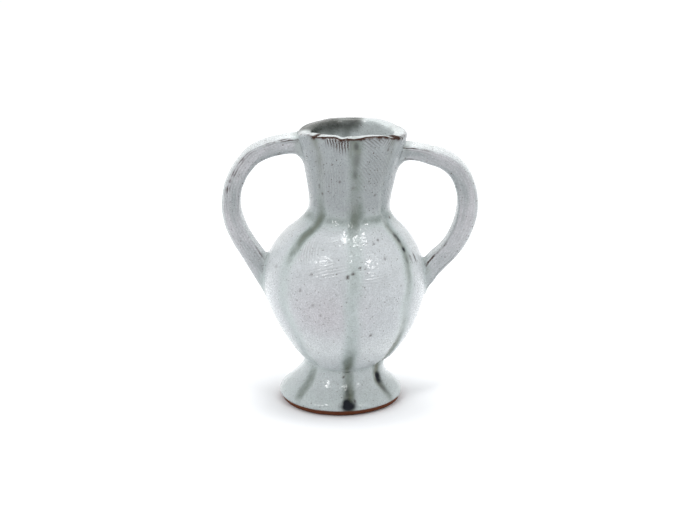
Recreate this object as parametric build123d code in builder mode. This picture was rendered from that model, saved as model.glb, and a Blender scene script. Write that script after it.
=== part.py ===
from build123d import *
import math
import os

# A small stoneware vase with two looped handles, built the way its maker built it: a hollow pedestal foot,
# an ovoid body, a flaring neck and two strap handles, each made by itself and luted to the next with slip.
# Millimetres, Z up. The handles stand along X, and the front of the vase faces -Y.
# X = 0 is half way between the handles. The hand-made members have centres of their own beside it.

# Whole vessel. Foot and body meet at the waist.
vessel_height = 60.0
waist_radius = 8.6
slip_thickness = 0.25
overrun = 2.0

# Grooves drawn down neck, body and foot with a round-ended tool. They are spaced by eye and wander a little
# from member to member. Azimuths in degrees, 0 at the front and growing towards +X.
neck_groove_azimuths = (-43, 4, 48, 117, 180, 242)
body_groove_azimuths = (-46, 6, 51, 117, 181, 243)
foot_groove_azimuths = (-46, 7, 55, 119, 182, 245)
groove_tool_radius = 1.7
groove_depth = 0.45

# Pedestal foot: a hollow cone with a rolled edge over its ring, its top pushed towards the body's centre
foot_ring_radius = 13.05
foot_edge_radius = 13.5
foot_height = 8.3
foot_wall = 2.7
foot_ring_centre = -2.05
foot_waist_centre = -1.2
foot_ring_chamfer = 0.3
# Rings between the ring and the waist: share of the height, of the widening and of the lean
foot_edge_shares = (0.15, 1.0, 0.0)
foot_flank_shares = ((0.34, 0.85, 0.0), (0.63, 0.34, 0.1))

# Body: widest at the belly, straighter flank, round shoulder with the opening for the neck
body_centre = -0.87
belly_radius = 17.6
belly_level = 27.0
flank_radius_share = 0.861
flank_level_share = 0.67
opening_radius = 6.3
opening_level = 41.5
body_wall = 2.3
body_floor = 2.8

# Neck: stands on the shoulder, leans slightly towards +X and flares to the mouth
neck_base_radius = 9.8
neck_base_edge = 0.55
neck_base_centre = -0.4
neck_waist_inset = 1.1
neck_waist_rise = 2.6
neck_throat_share = 0.307
neck_wall = 2.3
neck_lean = 2.4
mouth_radius = 11.75
lip_wall = 3.0
lip_outer_round = 0.9
lip_inner_round = 1.1

# Handles: a tail pressed into the belly, a straight leg, the elbow and a crown that enters the neck.
# The middle of the strap enters the neck a drop below the mouth and the belly a rise above its widest level.
left_reach = 25.3
left_top_drop = 4.0
left_foot_rise = 1.2
left_elbow_level_share = 0.554
left_elbow_radius_share = 0.722
left_thickness = 4.15
left_width = 4.9
right_reach = 25.05
right_top_drop = 6.1
right_foot_rise = 0.8
right_elbow_level_share = 0.613
right_elbow_radius_share = 0.793
right_thickness = 4.6
right_width = 5.1
handle_corner_radius = 1.3
handle_foot_depth = 4.0
handle_tail_radius = 5.0
handle_tail_turn = 60.0
handle_stations = 11
# How much a strap thickens and widens from its middle to its roots
root_thickness_share = 0.18
root_width_share = 0.3

# Where one member ends and the next begins
base_level = foot_height + slip_thickness
floor_level = base_level + body_floor
tool_lift = groove_tool_radius - groove_depth


def arc_radius(run, rise):
    """Radius of the arc that starts upright and moves sideways by run while it rises by rise."""
    return (run * run + rise * rise) / (2 * run)


def between(low, high, share):
    return low + (high - low) * share


def heading(centre, point):
    """Direction from an arc's centre to a point, in degrees above the horizontal."""
    way = point - centre
    return math.degrees(math.atan2(way.Y, way.X))


def tangent_heading(centre, radius, point):
    """Direction from an arc's centre to where the arc meets its tangent through a point outside it."""
    return heading(centre, point) + math.degrees(math.acos(radius / (point - centre).length))


# The body's outline, as distance from its axis and height: shoulder arc, belly arc and flank arc,
# each tangent to the next
flank_radius = between(waist_radius, belly_radius, flank_radius_share)
flank_level = between(base_level, belly_level, flank_level_share)
shoulder_arc_radius = arc_radius(belly_radius - opening_radius, opening_level - belly_level)
shoulder_arc_centre = Vector(belly_radius - shoulder_arc_radius, belly_level)
opening_turn = heading(shoulder_arc_centre, Vector(opening_radius, opening_level))
belly_arc_radius = arc_radius(belly_radius - flank_radius, belly_level - flank_level)
belly_arc_centre = Vector(belly_radius - belly_arc_radius, belly_level)
flank_point = Vector(flank_radius, flank_level)
flank_turn = heading(belly_arc_centre, flank_point)
base_point = Vector(waist_radius, base_level)
flank_chord = base_point - flank_point
flank_inwards = (belly_arc_centre - flank_point).normalized()
flank_arc_radius = flank_chord.length**2 / (2 * flank_chord.dot(flank_inwards))
flank_arc_centre = flank_point + flank_inwards * flank_arc_radius
base_turn = heading(flank_arc_centre, base_point)


def shoulder_level(radius):
    """Height of the shoulder at a distance from the body's axis."""
    return shoulder_arc_centre.Y + math.sqrt(shoulder_arc_radius**2 - (radius - shoulder_arc_centre.X) ** 2)


# The neck's outline, as distance from its leaning axis and height over its base:
# skirt arc, throat arc and a straight flare up to the mouth
neck_base_level = shoulder_level(neck_base_radius) + slip_thickness + neck_base_edge
neck_rise = vessel_height - neck_base_level
neck_waist_radius = neck_base_radius - neck_waist_inset
neck_flare = mouth_radius - neck_waist_radius
throat_arc_radius = neck_throat_share * arc_radius(neck_flare, neck_rise - neck_waist_rise)
skirt_arc_radius = arc_radius(neck_base_radius - neck_waist_radius, neck_waist_rise)
skirt_arc_centre = Vector(neck_waist_radius + skirt_arc_radius, neck_waist_rise)
skirt_turn = heading(skirt_arc_centre, Vector(neck_base_radius, 0)) % 360
throat_arc_centre = Vector(neck_waist_radius + throat_arc_radius, neck_waist_rise)
throat_turn = tangent_heading(throat_arc_centre, throat_arc_radius, Vector(mouth_radius, neck_rise))
lean_sin = math.sin(math.radians(neck_lean))
lean_cos = math.cos(math.radians(neck_lean))
neck_seat = Plane(
    origin=(neck_base_centre, 0, neck_base_level),
    x_dir=(lean_cos, 0, -lean_sin),
    z_dir=(lean_sin, 0, lean_cos),
)

# The foot's rings from the ground up: level, outer radius and centre
foot_rings = (
    (0, foot_ring_radius, foot_ring_centre),
    *(
        (
            foot_height * height_share,
            between(waist_radius, foot_edge_radius, widening_share),
            between(foot_ring_centre, foot_waist_centre, lean_share),
        )
        for height_share, widening_share, lean_share in (foot_edge_shares, *foot_flank_shares)
    ),
    (foot_height, waist_radius, foot_waist_centre),
)


def azimuth_plane(azimuth, centre):
    """Upright plane through a member's own axis: local X points outwards at the azimuth, local Y points up."""
    turn = math.radians(azimuth)
    outwards = Vector(math.sin(turn), -math.cos(turn), 0)
    across = Vector(-math.cos(turn), -math.sin(turn), 0)
    return Plane(origin=(centre, 0, 0), x_dir=outwards, z_dir=across)


def neck_plane(azimuth):
    """The same kind of plane through the neck's leaning axis, with its origin at the neck's base."""
    return Plane(neck_seat.location * azimuth_plane(azimuth, 0).location)


def body_line(lift, upper_turn):
    """Draws the body's outline pushed outwards by lift, from upper_turn on the shoulder down to the base."""
    CenterArc(tuple(shoulder_arc_centre), shoulder_arc_radius + lift, upper_turn, -upper_turn)
    CenterArc(tuple(belly_arc_centre), belly_arc_radius + lift, 0, flank_turn)
    CenterArc(tuple(flank_arc_centre), flank_arc_radius + lift, flank_turn, base_turn - flank_turn)


def neck_line(lift):
    """Draws the neck's outline pushed outwards by lift, from its base up to past the mouth."""
    flare_start = throat_arc_centre + Vector(throat_arc_radius - lift, 0).rotate(Axis.Z, throat_turn)
    flare = Vector(0, -neck_rise).rotate(Axis.Z, throat_turn)
    CenterArc(tuple(skirt_arc_centre), skirt_arc_radius - lift, skirt_turn, 180 - skirt_turn)
    CenterArc(tuple(throat_arc_centre), throat_arc_radius - lift, 180, throat_turn - 180)
    Line(tuple(flare_start), tuple(flare_start + flare))


def body_form(lift):
    """The body without its hollow, with its outline pushed outwards by lift."""
    with BuildPart() as form:
        with BuildSketch(azimuth_plane(90, body_centre)):
            with BuildLine() as outline:
                body_line(lift, opening_turn)
                top = outline.vertices().sort_by(Axis.Y)[-1]
                bottom = outline.vertices().sort_by(Axis.Y)[0]
                Polyline((top.X, top.Y), (0, top.Y), (0, bottom.Y), (bottom.X, bottom.Y))
            make_face()
        revolve(axis=Axis((body_centre, 0, 0), (0, 0, 1)))
    return form.part


def neck_form(lift):
    """The neck without its bore, reaching down into the shoulder, with its outline pushed outwards by lift."""
    with BuildPart() as form:
        with BuildSketch(neck_plane(90)):
            with BuildLine() as outline:
                neck_line(lift)
                top = outline.vertices().sort_by(Axis.Y)[-1]
                bottom = outline.vertices().sort_by(Axis.Y)[0]
                Polyline(
                    (top.X, top.Y),
                    (0, top.Y),
                    (0, bottom.Y - neck_base_radius),
                    (bottom.X, bottom.Y - neck_base_radius),
                    (bottom.X, bottom.Y),
                )
            make_face()
        revolve(axis=Axis(neck_seat.origin, neck_seat.z_dir))
        split(bisect_by=Plane.XY.offset(vessel_height), keep=Keep.BOTTOM)
    return form.part


def bore_form():
    """The room inside the neck: a straight throat over the opening, then a taper out to the lip."""
    waist_bore = neck_waist_radius - neck_wall
    widening = (mouth_radius - lip_wall - waist_bore) / (neck_rise - neck_waist_rise)
    bore_top = neck_rise + overrun
    top_bore = waist_bore + widening * (bore_top - neck_waist_rise)
    with BuildPart() as form:
        with BuildSketch(neck_plane(90)):
            with BuildLine():
                Polyline(
                    (0, -neck_base_radius),
                    (opening_radius, -neck_base_radius),
                    (opening_radius, 0),
                    (waist_bore, neck_waist_rise),
                    (top_bore, bore_top),
                    (0, bore_top),
                    close=True,
                )
            make_face()
        revolve(axis=Axis(neck_seat.origin, neck_seat.z_dir))
    return form.part


def foot_form(inset):
    """Smooth form through the foot's rings, each made smaller by inset."""
    with BuildPart() as form:
        for level, radius, centre in foot_rings:
            with BuildSketch(Plane.XY.offset(level)):
                with Locations((centre, 0)):
                    Circle(radius - inset)
        loft()
    return form.part


def groove(path):
    """What the round-ended tool takes away along a path of its own centre."""
    with BuildPart() as run:
        with BuildSketch(Plane(origin=path @ 0, z_dir=path % 0)):
            Circle(groove_tool_radius)
        sweep(path=path)
    return run.part


def neck_groove(azimuth):
    """Groove up the whole neck and out over the lip, which it nicks."""
    with BuildLine(neck_plane(azimuth)) as path:
        neck_line(tool_lift)
    return groove(path.line)


def body_groove(azimuth):
    """Groove from the neck's edge down the shoulder, the belly and the flank, and out past the base."""
    upper_turn = heading(shoulder_arc_centre, Vector(neck_base_radius, shoulder_level(neck_base_radius)))
    base = flank_arc_centre + Vector(flank_arc_radius + tool_lift, 0).rotate(Axis.Z, base_turn)
    past_base = base + Vector(0, -overrun).rotate(Axis.Z, base_turn)
    with BuildLine(azimuth_plane(azimuth, body_centre)) as path:
        body_line(tool_lift, upper_turn)
        Line(tuple(base), tuple(past_base))
    return groove(path.line)


def foot_groove(azimuth):
    """Groove from the waist down the flank of the foot. The tool lifts off before it reaches the edge."""
    turn = math.radians(azimuth)
    outwards = Vector(math.sin(turn), -math.cos(turn), 0)
    edge, flank, waist = (
        Vector(centre, 0, level) + outwards * radius
        for level, radius, centre in (foot_rings[1], foot_rings[-2], foot_rings[-1])
    )
    slope = (waist - flank).normalized()
    square = (outwards - slope * outwards.dot(slope)).normalized()
    start = waist + square * tool_lift + slope * overrun
    path = ThreePointArc(start, flank + square * tool_lift, edge + outwards * groove_tool_radius)
    return groove(path)


def handle_path(side, reach, top_drop, foot_rise, level_share, radius_share):
    """Middle line of a handle, from its tail in the belly to its end in the neck."""
    top = Vector(neck_waist_radius, vessel_height - top_drop)
    foot = Vector(belly_radius + side * body_centre, belly_level + foot_rise)
    elbow = Vector(reach, between(foot.Y, top.Y, level_share))
    elbow_radius = radius_share * arc_radius(elbow.X - foot.X, elbow.Y - foot.Y)
    elbow_centre = elbow - Vector(elbow_radius, 0)
    knee_turn = tangent_heading(elbow_centre, elbow_radius, foot)
    knee = elbow_centre + Vector(elbow_radius, 0).rotate(Axis.Z, knee_turn)
    leg = (foot - knee).normalized()
    leg_end = foot + leg * handle_foot_depth
    tail_centre = leg_end + leg.rotate(Axis.Z, -90) * handle_tail_radius
    tail_start = heading(tail_centre, leg_end) - handle_tail_turn
    with BuildLine(azimuth_plane(90 * side, 0)) as path:
        CenterArc(tuple(tail_centre), handle_tail_radius, tail_start, handle_tail_turn)
        Line(tuple(leg_end), tuple(knee))
        CenterArc(tuple(elbow_centre), elbow_radius, knee_turn, -knee_turn)
        TangentArc(tuple(elbow), tuple(top), tangent=(0, 1))
    return path.line


def strap_form(path, thickness, width):
    """Strap along a handle's path, thickest and widest at its roots, before its ends are cut to their seats."""
    with BuildPart() as form:
        for station in range(handle_stations):
            share = station / (handle_stations - 1)
            swell = (2 * share - 1) ** 2
            with BuildSketch(Plane(origin=path @ share, x_dir=(0, 1, 0), z_dir=path % share)):
                RectangleRounded(
                    width * (1 + root_width_share * swell),
                    thickness * (1 + root_thickness_share * swell),
                    handle_corner_radius,
                )
        loft()
    return form.part


left_path = handle_path(
    -1, left_reach, left_top_drop, left_foot_rise, left_elbow_level_share, left_elbow_radius_share
)
right_path = handle_path(
    1, right_reach, right_top_drop, right_foot_rise, right_elbow_level_share, right_elbow_radius_share
)
left_strap = strap_form(left_path, left_thickness, left_width)
right_strap = strap_form(right_path, right_thickness, right_width)
body_outside = body_form(0)
body_over_slip = body_form(slip_thickness)
body_hollow = body_form(-body_wall).split(Plane.XY.offset(floor_level), keep=Keep.TOP)
neck_outside = neck_form(0)
neck_over_slip = neck_form(slip_thickness)
neck_bore = bore_form()
foot_outside = foot_form(0)
foot_hollow = foot_form(foot_wall)
foot_grooves = [foot_groove(azimuth) for azimuth in foot_groove_azimuths]
body_grooves = [body_groove(azimuth) for azimuth in body_groove_azimuths]
neck_grooves = [neck_groove(azimuth) for azimuth in neck_groove_azimuths]

os.makedirs("parts", exist_ok=True)

# Foot: hollow cone, open at the bottom, with a flat seat for the body at its waist
with BuildPart() as foot:
    add(foot_outside)
    chamfer(foot.faces().sort_by(Axis.Z)[0].edges(), foot_ring_chamfer)
    add(foot_hollow, mode=Mode.SUBTRACT)
    add(foot_grooves, mode=Mode.SUBTRACT)
foot.part.label = "foot"
export_step(foot.part, "parts/foot.step")

# Body: the wall follows the outline inside, down to a thicker floor
with BuildPart() as body:
    add(body_outside)
    add(body_hollow, mode=Mode.SUBTRACT)
    with BuildSketch(Plane.XY.offset(belly_level)):
        with Locations((body_centre, 0)):
            Circle(opening_radius)
    extrude(amount=opening_level, mode=Mode.SUBTRACT)
    for run in body_grooves:
        add(run, mode=Mode.SUBTRACT)
body.part.label = "body"
export_step(body.part, "parts/body.step")

# Neck: its base is cut to the shoulder that it stands on, its lip is rounded and nicked by the grooves
with BuildPart() as neck:
    add(neck_outside)
    add(body_over_slip, mode=Mode.SUBTRACT)
    add(neck_bore, mode=Mode.SUBTRACT)
    fillet(neck.faces().sort_by(Axis.Z)[-1].outer_wire().edges(), lip_outer_round)
    fillet(neck.faces().sort_by(Axis.Z)[-1].inner_wires()[0].edges(), lip_inner_round)
    add(neck_grooves, mode=Mode.SUBTRACT)
neck.part.label = "neck"
export_step(neck.part, "parts/neck.step")

# Slip: the thin layer of liquid clay that bonds each member to the next
with BuildPart() as foot_slip:
    with BuildSketch(Plane.XY.offset(foot_height)):
        with Locations((foot_waist_centre, 0)):
            Circle(waist_radius)
        with Locations((body_centre, 0)):
            Circle(waist_radius, mode=Mode.INTERSECT)
        with Locations((foot_waist_centre, 0)):
            Circle(waist_radius - foot_wall, mode=Mode.SUBTRACT)
    extrude(amount=slip_thickness)
foot_slip.part.label = "foot_slip"
export_step(foot_slip.part, "parts/foot_slip.step")

with BuildPart() as neck_slip:
    add(neck_outside)
    add(body_over_slip, mode=Mode.INTERSECT)
    add(body_outside, mode=Mode.SUBTRACT)
    add(neck_bore, mode=Mode.SUBTRACT)
neck_slip.part.label = "neck_slip"
export_step(neck_slip.part, "parts/neck_slip.step")

# Handles: each end is cut to the wall that carries it, a layer of slip away, and that layer fills the gap
for side_name, strap in (("left", left_strap), ("right", right_strap)):
    with BuildPart() as handle:
        add(strap)
        add(body_over_slip, mode=Mode.SUBTRACT)
        add(neck_over_slip, mode=Mode.SUBTRACT)
    handle.part.label = f"handle_{side_name}"
    export_step(handle.part, f"parts/handle_{side_name}.step")

    with BuildPart() as top_slip:
        add(strap)
        add(neck_over_slip, mode=Mode.INTERSECT)
        add(neck_outside, mode=Mode.SUBTRACT)
    top_slip.part.label = f"handle_{side_name}_top_slip"
    export_step(top_slip.part, f"parts/handle_{side_name}_top_slip.step")

    with BuildPart() as tail_slip:
        add(strap)
        add(body_over_slip, mode=Mode.INTERSECT)
        add(body_outside, mode=Mode.SUBTRACT)
    tail_slip.part.label = f"handle_{side_name}_foot_slip"
    export_step(tail_slip.part, f"parts/handle_{side_name}_foot_slip.step")
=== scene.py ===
import math

import bpy
import numpy as np
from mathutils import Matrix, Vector


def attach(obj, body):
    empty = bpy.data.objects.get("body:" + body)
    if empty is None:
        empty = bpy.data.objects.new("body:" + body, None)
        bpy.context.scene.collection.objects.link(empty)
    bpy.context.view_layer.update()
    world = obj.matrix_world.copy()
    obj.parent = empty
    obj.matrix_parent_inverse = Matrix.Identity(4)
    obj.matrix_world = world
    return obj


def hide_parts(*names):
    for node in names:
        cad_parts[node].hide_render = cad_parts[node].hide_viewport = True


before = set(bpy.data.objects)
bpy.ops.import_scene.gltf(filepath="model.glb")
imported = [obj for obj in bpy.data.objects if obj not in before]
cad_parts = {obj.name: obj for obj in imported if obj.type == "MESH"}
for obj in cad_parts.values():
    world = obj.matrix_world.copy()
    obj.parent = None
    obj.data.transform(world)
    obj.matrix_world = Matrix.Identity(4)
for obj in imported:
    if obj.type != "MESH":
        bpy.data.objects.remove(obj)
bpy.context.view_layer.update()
print("CAD frame loaded:", len(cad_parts), "nodes")

# Lengths below are millimetres unless a name says otherwise. Azimuths are degrees from the front (-Y),
# growing towards +X. The meshes are turned to metres at the very end.
mm = 0.001


def smoothTable(table, where):
    # Cubic through the rows (x, y) of a table: between two rows the value leaves one with the mean slope of
    # its neighbours and meets the other the same way. Beyond the ends the end value holds.
    x, y = np.array(table, float).T
    slope = np.gradient(y, x)
    at = np.clip(where, x[0], x[-1])
    low = np.clip(np.searchsorted(x, at, side="right") - 1, 0, len(x) - 2)
    run = x[low + 1] - x[low]
    t = (at - x[low]) / run
    start = y[low] * (1 + 2 * t) * (1 - t) ** 2 + slope[low] * run * t * (1 - t) ** 2
    end = y[low + 1] * t**2 * (3 - 2 * t) + slope[low + 1] * run * t**2 * (t - 1)
    return start + end


def smoothPath(points, steps, fineSteps=2000):
    # Smooth line through points, run off by the length along its chords, then read at even steps.
    points = np.array(points, float)
    along = np.concatenate([[0], np.cumsum(np.linalg.norm(np.diff(points, axis=0), axis=1))])
    fine = np.linspace(0, along[-1], fineSteps)
    line = np.stack([smoothTable(np.stack([along, p], 1), fine) for p in points.T], 1)
    run = np.concatenate([[0], np.cumsum(np.linalg.norm(np.diff(line, axis=0), axis=1))])
    even = np.linspace(0, run[-1], steps)
    return np.stack([np.interp(even, run, p) for p in line.T], 1)


def wobble(seed, *fields):
    # Smooth unevenness, mostly between -1 and 1: the sum of six sines, each across the fields at a slant of
    # its own, over 3.5.
    dice = np.random.default_rng(seed)
    total = 0
    for _ in range(6):
        slants = dice.normal(0, 1, len(fields))
        total = total + np.sin(sum(s * f for s, f in zip(slants, fields)) + dice.uniform(0, 6.28))
    return total / 3.5


def softStep(low, high, value):
    # 0 at low and 1 at high, whichever is larger, with 3t2 - 2t3 between.
    t = np.clip((value - low) / (high - low), 0, 1)
    return t * t * (3 - 2 * t)


def band(value, start, full, fade, end):
    # 1 between full and fade, 0 before start and past end, with soft steps between.
    return softStep(start, full, value) * softStep(end, fade, value)


def bell(value, middle, width):
    # e to the minus square of the distance from the middle over the width.
    return np.exp(-(((value - middle) / width) ** 2))


def turnBetween(azimuth, target):
    # Degrees from the target to the azimuth, the short way round.
    return (azimuth - target + 180) % 360 - 180


# The vase: one profile from the top of the hollow foot round to the floor inside, turned about an axis that
# wanders sideways with height. Rows of footHollow, lip and inside are (radius, height). Rows of outline,
# axis and rowStep, the distance between two rows of the mesh, are (height, value).
vase = {
    "footHollow": [(0.02, 8.2), (3.4, 8.15), (5.3, 7.9), (6.2, 6.9), (7.7, 5), (9.3, 3.5), (10.1, 2.2),
                   (10.45, 1.1), (10.5, 0.45), (10.8, 0.1), (11.3, 0), (12.3, 0), (12.65, 0.05),
                   (12.86, 0.22)],
    "outline": [(0.22, 12.86), (0.6, 12.98), (1, 13.1), (1.15, 13.3), (1.5, 13.42), (2.1, 13.28),
                (2.8, 12.75), (4, 11.5), (5.2, 10.25), (6.4, 9.4), (7.4, 8.96), (8.1, 8.8), (8.4, 8.74),
                (8.58, 8.6), (8.8, 8.76), (9.15, 9.14), (9.6, 9.62), (11, 10.88), (13, 12.36), (15, 13.66),
                (18, 15.2), (22, 16.72), (26, 17.5), (30, 17.2), (33, 16.22), (36, 14.45), (38, 12.75),
                (40, 10.55), (41, 9.68), (42.2, 9.02), (43.4, 8.74), (45.4, 8.84), (47.5, 9.2), (49.7, 9.62),
                (51.9, 10.1), (54, 10.6), (57, 11.32), (59.1, 11.68)],
    "lip": [(11.68, 59.1), (11.66, 59.45), (11.5, 59.75), (11.2, 59.92), (10.6, 59.98), (9.4, 59.98),
            (8.9, 59.8), (8.66, 59.3), (8.6, 58.6)],
    "inside": [(8.6, 58.6), (8.35, 56), (7.8, 52), (7.1, 48), (6.5, 44.5), (6.3, 42.4), (6.6, 40.6),
               (8.6, 38.9), (11.6, 36.3), (13.9, 32.6), (15, 28), (14.7, 23.5), (13, 18), (10, 13.6),
               (6.4, 11.7), (3, 11.35), (0.02, 11.35)],
    "axis": [(0, -2.05), (2.8, -2.12), (5.2, -2.05), (7, -1.7), (8.3, -1.3), (9.6, -0.95), (12, -0.88),
             (38, -0.84), (41, -0.45), (43.4, -0.15), (46, 0.02), (50, 0.2), (54, 0.4), (60, 0.45)],
    "rowStep": [(0, 0.24), (3, 0.32), (7, 0.3), (8, 0.16), (9.2, 0.16), (11, 0.4), (20, 0.44), (38, 0.4),
                (56, 0.36), (59, 0.24)],
    # Mesh rows on each stretch and points in a row. The outside's push reaches overlapRows past its ends and
    # fades out over fadeRows.
    "rowsUnder": 24, "rowsLip": 17, "rowsInside": 34, "turns": 320, "overlapRows": 3, "fadeRows": 8,
    # The outside stands a skin under its outline, with long and fine waves of the hand over it.
    "skin": 0.07, "handWaves": 0.07, "fineWaves": 0.02,
    # From neckMiddle up, the neck's front is flatter, at the rim by frontFlat.
    "frontFlat": 1.9, "neckMiddle": 47,
    # The rim dips towards the handles, and once at the front, where a thumb has pressed it: rows of rim are
    # (azimuth, depth). The dips come in between the heights of dip. No point above rimFrom passes top.
    "rimWaves": 0.03, "leastDip": 0.01, "dip": (54.5, 59.4), "rimFrom": 50, "top": 59.99,
    "rim": [(-180, 0.02), (-150, 0.05), (-138, 0.18), (-116, 0.34), (-102, 0.62), (-90, 0.8), (-75, 0.6),
            (-60, 0.14), (-48, 0.02), (-28, 0.02), (-19, 0.1), (-12, 0.45), (-5, 0.18), (2, 0.1), (25, 0.05),
            (38, 0.2), (52, 0.6), (70, 0.7), (90, 0.68), (110, 0.7), (125, 0.6), (147, 0.05), (180, 0.02)],
}

# Grooves drawn with a round tool: how deep, and for each where it runs, how full of green glaze it is and
# how olive with iron. Rows are (height, value). Widths are of bells across the groove: its pool of glaze
# widens up the neck, the olive in it narrows over the shoulder, and both wander beside it.
grooves = {
    "width": 1.45, "poolWidth": 1.75, "neckWidening": 0.95,
    "oliveWidth": 1, "oliveNarrowing": 0.25, "wander": 0.35,
    "depth": [(0.6, 0), (2.4, 0.12), (4, 0.38), (8, 0.38), (10, 0.38), (20, 0.24), (30, 0.2), (38, 0.34),
              (43, 0.36), (48, 0.28), (56, 0.24), (60, 0.3)],
    "lines": [
        {"run": [(1, -44), (5, -46), (8, -47.5), (12, -46), (16, -43.5), (22, -46), (30, -48), (38, -46.5),
                 (41, -42), (44, -45), (50, -42.5), (55, -40.8), (60, -42.5)],
         "pool": [(1, 0.5), (3, 0.8), (7, 0.9), (9.5, 0.45), (14, 0.45), (24, 0.5), (32, 0.55), (37, 0.95),
                  (42, 1), (46, 0.7), (56, 0.55), (60, 0.7)],
         "olive": [(1, 0.05), (3, 0.2), (6, 0.25), (8, 0.05), (35, 0), (37, 0.35), (38.5, 0.6), (41.5, 0.5),
                   (44, 0.2), (48, 0.22), (54, 0.35), (58, 0.45), (60, 0.75)]},
        {"run": [(1, 7.2), (5, 9), (7.5, 7.6), (10, 4), (15, 4.6), (22, 5.3), (30, 6.2), (37, 8), (43, 9.2),
                 (46.5, 7.5), (51, 5.5), (56, 4), (60, 3)],
         "pool": [(1, 0.9), (4, 1), (8, 0.8), (11, 0.95), (15, 0.65), (22, 0.55), (30, 0.6), (35, 0.6),
                  (38.5, 0.6), (41, 0.98), (46, 0.9), (52, 0.85), (60, 0.95)],
         "olive": [(1, 0.7), (3, 0.95), (5, 0.8), (7, 0.35), (9, 0.75), (11, 0.6), (14, 0.15), (20, 0),
                   (38, 0.05), (42, 0.3), (48, 0.15), (52, 0.25), (55, 0.5), (58, 0.8), (60, 0.9)]},
        {"run": [(1, 55.5), (5, 56.5), (8, 58), (12.5, 54), (18, 53), (24, 49), (31, 53.5), (36, 58.5),
                 (41, 57.5), (45, 52), (48, 48), (54, 45.5), (58, 47), (60, 50)],
         "pool": [(1, 0.6), (4, 0.85), (8, 1), (14, 0.9), (22, 0.6), (30, 0.7), (36, 0.8), (42, 0.7),
                  (50, 0.5), (60, 0.6)],
         "olive": [(1, 0.1), (3, 0.45), (5, 0.8), (7, 0.9), (10, 0.7), (15, 0.65), (19, 0.25), (28, 0.1),
                   (33, 0.45), (36, 0.85), (38.5, 0.5), (41, 0.15), (50, 0.1), (57, 0.3), (60, 0.75)]},
        {"run": [(0, 119), (30, 117), (60, 116)],
         "pool": [(0, 0.8), (10, 0.9), (25, 0.5), (42, 0.9), (60, 0.8)],
         "olive": [(0, 0.5), (8, 0.6), (14, 0.1), (36, 0.1), (43, 0.5), (60, 0.6)]},
        {"run": [(0, 182), (30, 181), (60, 180)],
         "pool": [(0, 0.9), (10, 0.9), (25, 0.55), (42, 1), (60, 0.9)],
         "olive": [(0, 0.75), (8, 0.5), (14, 0.2), (34, 0.05), (43, 0.35), (60, 0.8)]},
        {"run": [(0, 245), (30, 243), (60, 241)],
         "pool": [(0, 0.7), (10, 0.8), (25, 0.45), (42, 0.8), (60, 0.8)],
         "olive": [(0, 0.4), (8, 0.7), (16, 0.25), (36, 0.5), (43, 0.6), (60, 0.5)]},
    ],
}

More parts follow.
